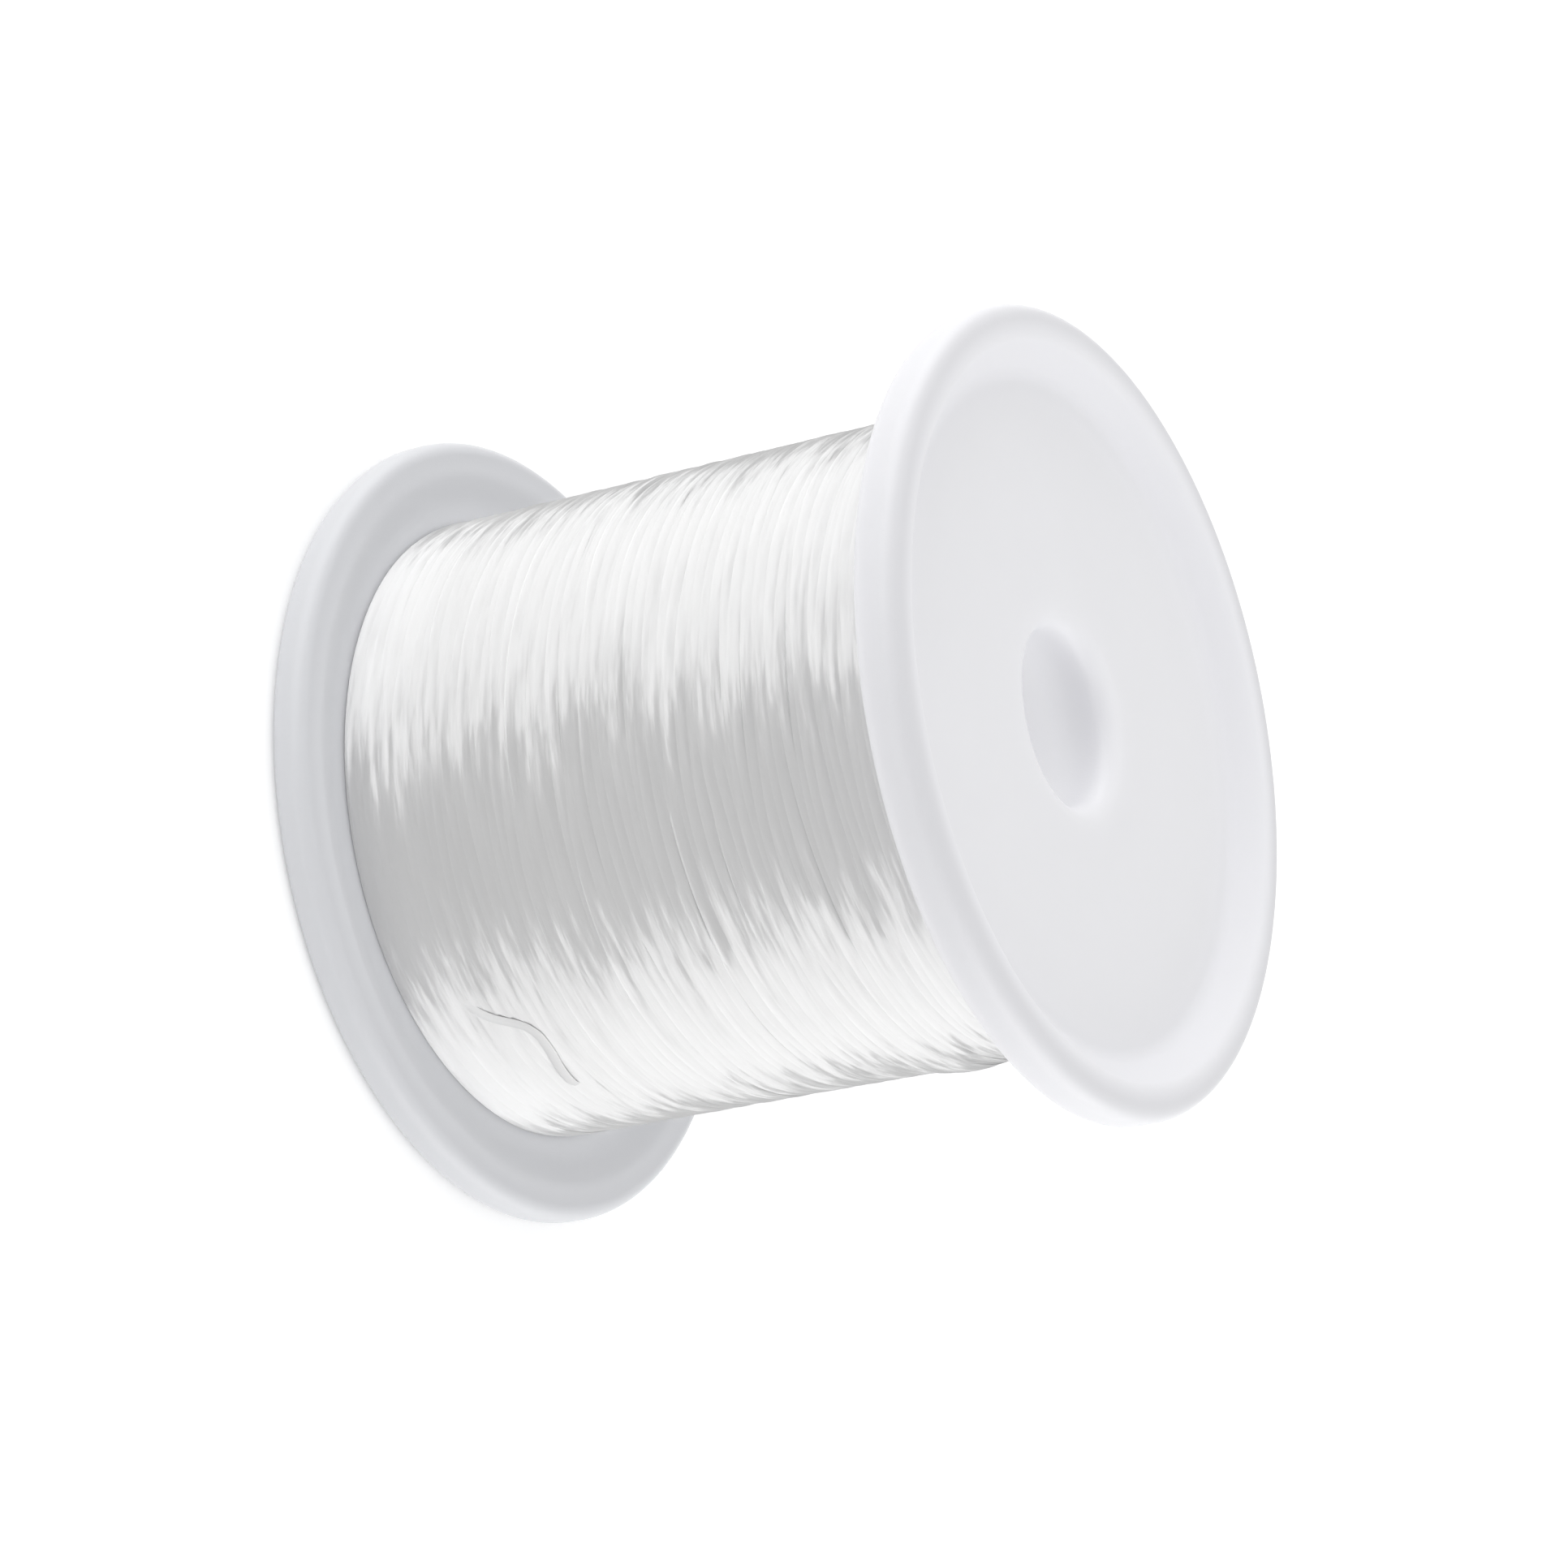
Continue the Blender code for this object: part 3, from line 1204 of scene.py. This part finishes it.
@dataclass(frozen=True)
class SkyPatch:
    """A round, soft-edged part of the surround with a brightness of its own. Its angles are degrees."""

    colour: str
    azimuth: float
    elevation: float
    full_within: float
    gone_beyond: float

    def add(
        self, tree: bpy.types.NodeTree, ray: bpy.types.NodeSocket, under: object
    ) -> bpy.types.NodeSocket:
        """Lays the patch over the surround so far.

        Args:
            tree: the world's node tree.
            ray: the direction that is looked at.
            under: the colour so far, as a value or a socket.

        Returns:
            The socket with the patched colour.
        """
        towards = direction(self.azimuth, self.elevation)
        facing = add_node(tree, "ShaderNodeVectorMath", {0: ray, 1: towards}, operation="DOT_PRODUCT")
        share = add_node(
            tree, "ShaderNodeMapRange",
            {
                "Value": facing.outputs["Value"],
                "From Min": math.cos(math.radians(self.gone_beyond)),
                "From Max": math.cos(math.radians(self.full_within)),
            },
            interpolation_type="SMOOTHSTEP",
        )
        patched = add_node(
            tree, "ShaderNodeMix",
            {"Factor": share.outputs["Result"], "A": under, "B": linear(self.colour)},
            data_type="RGBA",
        )
        return patched.outputs["Result"]


@dataclass
class Studio:
    """A pale floor, a pale surround, a soft box on either side of the spool, and the camera."""

    target: tuple[float, float, float] = (0.377 * MM, 0.0, 13.9 * MM)
    distance: float = 237.1 * MM
    # Degrees above the floor, and how far the camera is rolled onto its side.
    elevation: float = 28.38
    roll: float = 78.32
    lens: float = 133.5
    sensor: float = 36.0
    # White paper, lit evenly enough to show no shadow edge. It lies just under the rim's lowest wave.
    floor_size: float = 6.0
    floor_colour: str = "#F8F8F8"
    floor_roughness: float = 0.9
    floor_glow: str = "#FFFFFF"
    floor_glow_strength: float = 0.16
    floor_drop: float = 0.02 * MM
    sky: str = "#FFFFFF"
    sky_strength: float = 0.95
    # Less light comes from the camera's side and from the open back of the light tent.
    patches: tuple[SkyPatch, ...] = (
        SkyPatch("#D5D5D5", azimuth=-83.0, elevation=15.0, full_within=30.0, gone_beyond=58.0),
        SkyPatch("#DFDFDF", azimuth=90.0, elevation=10.0, full_within=30.0, gone_beyond=60.0),
    )
    boxes: tuple[SoftBox, ...] = (
        SoftBox("soft_box_left", 188.0, 14.0, distance=0.20, width=0.44, height=0.12, brightness=1.53),
        SoftBox("soft_box_right", -2.0, 14.0, distance=0.20, width=0.32, height=0.12, brightness=1.50),
    )

    def build(self) -> None:
        """Adds the floor, the world, the lights and the camera."""
        self._floor()
        self._world()
        for box in self.boxes:
            box.build(Vector(self.target))
        self._camera()
        bpy.context.scene.view_settings.view_transform = "Standard"

    def _floor(self) -> None:
        """Adds a pale, matt floor under the spool."""
        half = self.floor_size / 2.0
        corners = [(-half, -half, 0.0), (half, -half, 0.0), (half, half, 0.0), (-half, half, 0.0)]
        mesh = bpy.data.meshes.new("floor")
        mesh.from_pydata(corners, [], [(0, 1, 2, 3)])
        material, tree = blank_material("white_paper_sweep")
        shader = add_node(
            tree, "ShaderNodeBsdfPrincipled",
            {
                "Base Color": linear(self.floor_colour),
                "Roughness": self.floor_roughness,
                "Emission Color": linear(self.floor_glow),
                "Emission Strength": self.floor_glow_strength,
            },
        )
        add_node(tree, "ShaderNodeOutputMaterial", {"Surface": shader.outputs["BSDF"]})
        mesh.materials.append(material)
        floor = bpy.data.objects.new("floor", mesh)
        floor.location.z = -self.floor_drop
        bpy.context.scene.collection.objects.link(floor)

    def _world(self) -> None:
        """Adds the pale surround. The camera sees it without its patches, as a plain backdrop."""
        world = bpy.data.worlds.new("studio_surround")
        world.use_nodes = True
        world.node_tree.nodes.clear()
        ray = add_node(world.node_tree, "ShaderNodeTexCoord").outputs["Generated"]
        colour: object = linear(self.sky)
        for patch in self.patches:
            colour = patch.add(world.node_tree, ray, colour)
        seen = add_node(world.node_tree, "ShaderNodeLightPath").outputs["Is Camera Ray"]
        shown = add_node(
            world.node_tree, "ShaderNodeMix",
            {"Factor": seen, "A": colour, "B": linear(self.sky)},
            data_type="RGBA",
        )
        light = add_node(
            world.node_tree, "ShaderNodeBackground",
            {"Color": shown.outputs["Result"], "Strength": self.sky_strength},
        )
        add_node(world.node_tree, "ShaderNodeOutputWorld", {"Surface": light.outputs["Background"]})
        bpy.context.scene.world = world

    def _camera(self) -> None:
        """Adds the camera, a long lens that looks along the spool from above its front flange."""
        lens = bpy.data.cameras.new("camera")
        lens.lens = self.lens
        lens.sensor_width = self.sensor
        camera = bpy.data.objects.new("camera", lens)
        rise = math.radians(self.elevation)
        back = Vector((0.0, -math.cos(rise), math.sin(rise)))
        nod = Matrix.Rotation(math.pi / 2.0 - rise, 4, "X")
        roll = Matrix.Rotation(math.radians(self.roll), 4, "Z")
        camera.matrix_world = Matrix.Translation(Vector(self.target) + back * self.distance) @ nod @ roll
        bpy.context.scene.collection.objects.link(camera)
        bpy.context.scene.camera = camera


def main() -> None:
    """Builds the studio and the spool's pieces in order."""
    logging.basicConfig(level=logging.INFO, format="%(name)s: %(message)s")
    spool = SpoolFrame.read()
    Studio().build()
    mouldings = Mouldings(spool)
    for piece in mouldings.build():
        LOG.info("moulded %s, %d faces", piece.name, len(piece.data.polygons))
    winding = Winding(spool, mouldings.rear_inner, mouldings.front_inner, mouldings.barrel)
    for piece in winding.build():
        LOG.info("wound %s, %d faces", piece.name, len(piece.data.polygons))
    LOG.info("outermost turn at %.2f mm", winding.surface.radius.max() / MM)
    end = LooseEnd(winding.surface, mouldings.rear_inner).build()
    LOG.info("tucked %s, %d faces", end.name, len(end.data.polygons))


if __name__ == "__main__":
    main()
